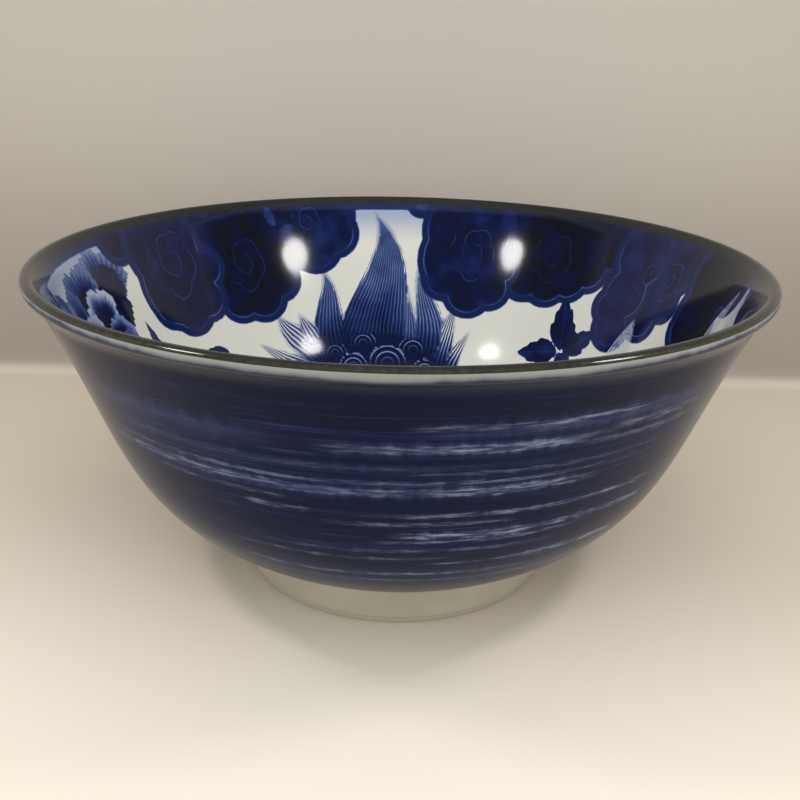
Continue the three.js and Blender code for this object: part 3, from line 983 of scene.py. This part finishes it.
def brushedFinish():
    f = Finish("brushedBlueGlaze", IOR=brushed["ior"], Specular_Tint=brushed["tint"])
    broad, hairs, dab, dry, patch, sway = (f.marks(*mark) for mark in brushMarks.values())
    across = f.node("ShaderNodeSeparateXYZ", {}, {0: f.brushPlace(1.0, 1.0)}, out="X")
    side = across.math("ARCTAN2", across, 0 - across.also("Y")) * math.degrees(1)
    third = math.floor((side + brushed["third"] / 2) / brushed["third"])
    aside = side - third * brushed["third"]
    down = across.also("Z")
    level = down + third * brushed["stagger"] + (sway - 0.5) * brushed["sway"]
    # Broad level bands of thicker and thinner blue, near black at the top
    tone = broad * brushed["broadTone"] + hairs * brushed["hairTone"] - brushed["toneDrop"]
    blue = f.ramp(tone, [(0.34, blues["deep"]), (0.5, blues["navy"]), (0.74, blues["blue"])])
    top = (down + (broad - 0.5) * brushed["topWave"]).rise(*brushed["topEnd"])
    blue = f.mix(top * brushed["topTone"], blue, blues["deep"])
    # Dry strokes, ragged along both edges, each in a haze of thin blue
    s = brushSpread
    ragged = s["ragged"][0] + dab * s["ragged"][1]
    bare = 0.0
    haze = 0.0
    for depth, middle, span, half, bright, glow in brushed["strokes"]:
        ends = abs(aside - middle).rise(span * s["ends"][0], span * s["ends"][1])
        fall = abs(level - depth)
        core = (ragged * (half * s["bareReach"]) - fall).rise(0, half * s["bareFade"], 0, bright)
        bare = (core * ends).atLeast(bare)
        veil = (ragged * (half * s["hazeReach"]) - fall).rise(0, half * s["hazeFade"], 0, glow)
        haze = (veil * ends).atLeast(haze)
    bare = bare * dry.rise(*s["dry"]) * patch.rise(*s["dryPatch"])
    thin = hairs.rise(*s["thin"]) * patch.rise(*s["thinPatch"]) * (1 - top * brushed["topThin"])
    hazy = (haze * (s["hazeLeast"] + hairs)).atLeast(thin * s["thinTone"])
    colour = f.mix(hazy, blue, blues["haze"])
    f.feed("Base Color", f.mix(bare, colour, blues["pale"]))
    f.feed("Roughness", brushed["polish"] + bare * brushed["bareDull"] + hairs * brushed["hairDull"])
    grooves = hairs * brushed["hairGroove"] + dry * brushed["dryGroove"]
    f.feed("Normal", f.bump(grooves, brushed["groove"]))
    return f.material


# Clear glaze over white clay, and bare clay
footCoat = dict(rows=26, backRows=6, turns=360, strips=4, colour=paint(190, 186, 169),
                shade=paint(180, 175, 157))
baseCoat = dict(rows=40, backRows=10, turns=240, sidePoints=20, floorPoints=60,
                colour=paint(226, 223, 212), shade=paint(212, 209, 194))
clayWall = dict(rows=200, turns=120, colour=paint(224, 220, 208), shade=paint(212, 207, 193))
clayFoot = dict(turns=360, colour=paint(188, 182, 164), shade=paint(172, 164, 144))
clearGlaze = dict(ior=1.5, cloudSize=12, cloud=(0.3, 0.7), cloudTone=0.7, speckSize=0.8, speck=(0.66, 0.74),
                  speckTone=0.3, polish=0.08, dull=0.08, rippleSize=6, ripple=0.03)
bareClay = dict(ior=1.45, grainSize=0.35, grain=(0.35, 0.7), matt=0.65, mattGrain=0.2, ripple=0.03)


def clearFinish(name, coat):
    g = clearGlaze
    f = Finish(name, IOR=g["ior"])
    place = f.millimetres()
    cloud = f.noise(place, g["cloudSize"], detail=3)
    speck = f.noise(place, g["speckSize"], detail=2)
    shade = cloud.rise(*g["cloud"]) * g["cloudTone"] + speck.rise(*g["speck"]) * g["speckTone"]
    f.feed("Base Color", f.mix(shade, coat["colour"], coat["shade"]))
    f.feed("Roughness", g["polish"] + cloud * g["dull"])
    f.feed("Normal", f.bump(f.noise(place, g["rippleSize"], detail=2), g["ripple"]))
    return f.material


def clayFinish(name, clay):
    f = Finish(name, IOR=bareClay["ior"])
    grain = f.noise(f.millimetres(), bareClay["grainSize"], detail=3)
    f.feed("Base Color", f.mix(grain.rise(*bareClay["grain"]), clay["colour"], clay["shade"]))
    f.feed("Roughness", bareClay["matt"] + grain * bareClay["mattGrain"])
    f.feed("Normal", f.bump(grain, bareClay["ripple"]))
    return f.material


def buildCoats():
    ends = skinPlaces

    def coat(name, start, end, sizes, finish):
        outline = coatOutline(skin, skinRun, start, end, sizes["rows"], sizes["backRows"])
        piece = turned(name, outline, sizes["turns"], finish)
        row = rowsOf(piece, outline)
        layBrush(piece, sizes, row, end - start)
        layMap(piece, sizes, row)
        return piece

    inner = coat("innerGlaze", 0, ends["bandTop"], printed, printedFinish())
    canvas = Canvas(inner)
    for draw in (drawClouds, drawPlumes, drawWisps, drawCurls, drawLeaves, drawPetals):
        draw(canvas, inner)
    settle(inner, "inner_glaze")
    band = coat("rimGlaze", ends["bandTop"], ends["bandEnd"], rim, rimFinish())
    settle(band, "rim_glaze")
    line = coat("lipLineGlaze", ends["bandEnd"], ends["lineEnd"], lipLine, lineFinish())
    settle(line, "lip_line_glaze")
    outer = coat("outerGlaze", ends["lineEnd"], ends["blueEnd"], brushed, brushedFinish())
    settle(outer, "outer_glaze")
    clear = clearFinish("clearFootGlaze", footCoat)
    foot = coat("footGlaze", ends["blueEnd"], ends["footEnd"], footCoat, clear)
    settle(foot, "foot_glaze")


def footSection():  # inside edge of the foot at the table, and the corner of the recess
    s = section
    toe = np.array([s["footRadius"] - s["footWidth"], 0.0])
    return toe, np.array([toe[0] - s["footDraft"], s["recessDepth"]])


def buildBase():
    s = section
    toe, corner = footSection()
    bare = atHeight(corner, toe, s["bareFoot"])
    axis = np.array([0.0, s["recessDepth"]])
    bend = filleted(bare, corner, axis, s["recessFillet"])
    side = curve(bare, bend[0], count=baseCoat["sidePoints"])
    path = joined(side, bend, curve(bend[-1], axis, count=baseCoat["floorPoints"]))
    under = path - leftOf(path) * s["glaze"]
    run = lengths(path)
    front = along(path, run, np.linspace(0, run[-1], baseCoat["rows"]))
    back = along(under, run, np.linspace(run[-1], 0, baseCoat["backRows"]))
    front[-1, 0] = 0.0
    back[0, 0] = 0.0
    piece = turned("baseGlaze", np.vstack([front[::-1], back[::-1]]), baseCoat["turns"],
                   clearFinish("clearBaseGlaze", baseCoat))
    settle(piece, "base_glaze")


def buildClay():
    s = section
    depth = s["glaze"] + s["clearance"]
    clayPath = skin - leftOf(skin) * depth
    clayPath[0, 0] = 0.0
    seat = s["recessDepth"] + depth
    keep = (np.arange(len(skin)) < np.argmax(skin[:, 1])) | (clayPath[:, 1] > seat)
    run = lengths(clayPath[keep])
    wall = along(clayPath[keep], run, np.linspace(0, run[-1], clayWall["rows"]))
    outline = np.vstack([wall, [[wall[-1, 0], seat], [0.0, seat]]])
    piece = turned("porcelainWall", outline, clayWall["turns"], clayFinish("whiteClay", clayWall))
    settle(piece, "porcelain_wall")
    toe, corner = footSection()
    ledge = s["bareFoot"] - s["clearance"]
    top = seat - s["clearance"]
    outerLedge = atHeight(heelPoint, toePoint, ledge)
    innerLedge = atHeight(corner, toe, ledge)
    outerTop = atHeight(heelPoint, toePoint, top)
    inset = np.array([depth, 0.0])
    ring = np.vstack([[(corner[0] + depth, top)], [outerTop - inset], [outerLedge - inset], [outerLedge],
                      filleted(outerLedge, toePoint, toe, s["toeRadius"]),
                      filleted(toePoint, toe, innerLedge, s["toeRadius"]),
                      [innerLedge], [innerLedge + inset], [(corner[0] + depth, top)]])
    piece = turned("footRing", ring, clayFoot["turns"], clayFinish("bareFootClay", clayFoot))
    settle(piece, "foot_ring")


buildCoats()
buildBase()
buildClay()
